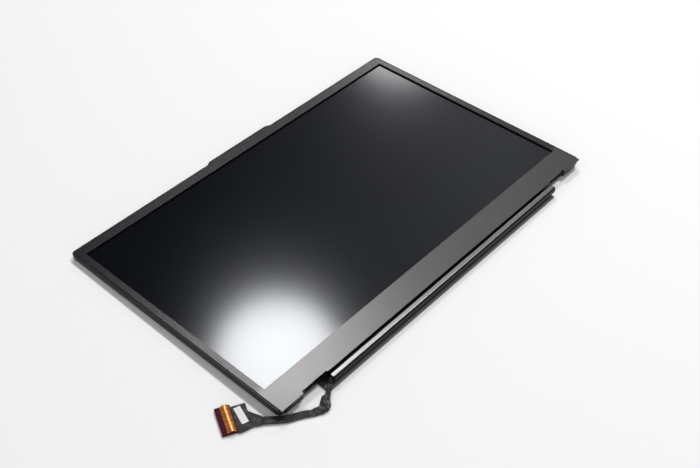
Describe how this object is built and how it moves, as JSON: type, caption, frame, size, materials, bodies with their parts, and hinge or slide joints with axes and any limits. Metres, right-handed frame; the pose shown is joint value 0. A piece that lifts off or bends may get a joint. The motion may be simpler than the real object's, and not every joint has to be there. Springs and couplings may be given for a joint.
{
  "type": "laptop screen panel",
  "caption": "Laptop display lid taken off its hinges, screen up: matt bezel, liquid-crystal panel, back cover, round trim bar, camera strip and a short flat cable with its plug.",
  "frame": {"origin": "under the middle of the lid, level with the underside of the hinge rail, cable left out", "axes": "+X along the screen's width to its right, +Y up the screen, +Z out of the screen"},
  "size_m": [0.3969, 0.2509, 0.009],
  "materials": {
    "cover_plastic": "fine-grained matt charcoal ABS",
    "bezel_plastic": "fine spark-eroded grain, matt dark grey",
    "bar_plastic": "satin black moulded trim",
    "insert_brass": "turned brass",
    "adhesive_tape": "stretch-release foam tape",
    "tray_steel": "pressed sheet",
    "white_frame": "white moulded frame",
    "led_tape": "phosphor-coated light emitters",
    "white_film": "reflective white film",
    "clear_acrylic": "clear sheet",
    "screen_glass": "anti-glare polariser, near black when off",
    "shield_sheet": "black insulating sheet",
    "green_board": "solder-masked laminate",
    "amber_film": "amber polyimide film",
    "socket_nylon": "natural nylon",
    "plug_nylon": "black nylon",
    "foam": "closed-cell foam",
    "camera_plastic": "matt black housing",
    "lens_glass": "coated lens",
    "window_gloss": "dark tinted window",
    "can_steel": "plated can",
    "light_pipe": "milky light pipe",
    "magnet_nickel": "nickel plating",
    "wire_jacket": "black insulation",
    "cloth_tape": "black cloth tape wrap",
    "label_paper": "blank white label",
    "plug_body": "dark red-brown moulding"
  },
  "bodies": {
    "root": {"back_cover": "cover_plastic", "bezel": "bezel_plastic", "hinge_bar": "bar_plastic", "hinge_inserts": "insert_brass", "panel_tapes": "adhesive_tape", "panel_tray": "tray_steel", "panel_frame": "white_frame", "led_strip": "led_tape", "reflector_sheet": "white_film", "diffuser_films": "white_film", "light_guide": "clear_acrylic", "lcd_cell": "screen_glass", "board_shield": "shield_sheet", "driver_board": "green_board", "camera_board": "green_board", "driver_tabs": "amber_film", "plug_film": "amber_film", "panel_socket": "socket_nylon", "camera_socket": "socket_nylon", "panel_plug": "plug_nylon", "camera_plug": "plug_nylon", "strip_pad": "foam", "mic_gaskets": "foam", "camera_module": "camera_plastic", "camera_lens": "lens_glass", "camera_window": "window_gloss", "microphones": "can_steel", "camera_light": "light_pipe", "lid_magnet": "magnet_nickel", "panel_lead": "wire_jacket", "camera_wire": "wire_jacket", "cable_trunk": "wire_jacket", "display_cable": "cloth_tape", "cable_head": "cloth_tape", "cable_label": "label_paper", "board_plug": "plug_body"}
  },
  "joints": []
}
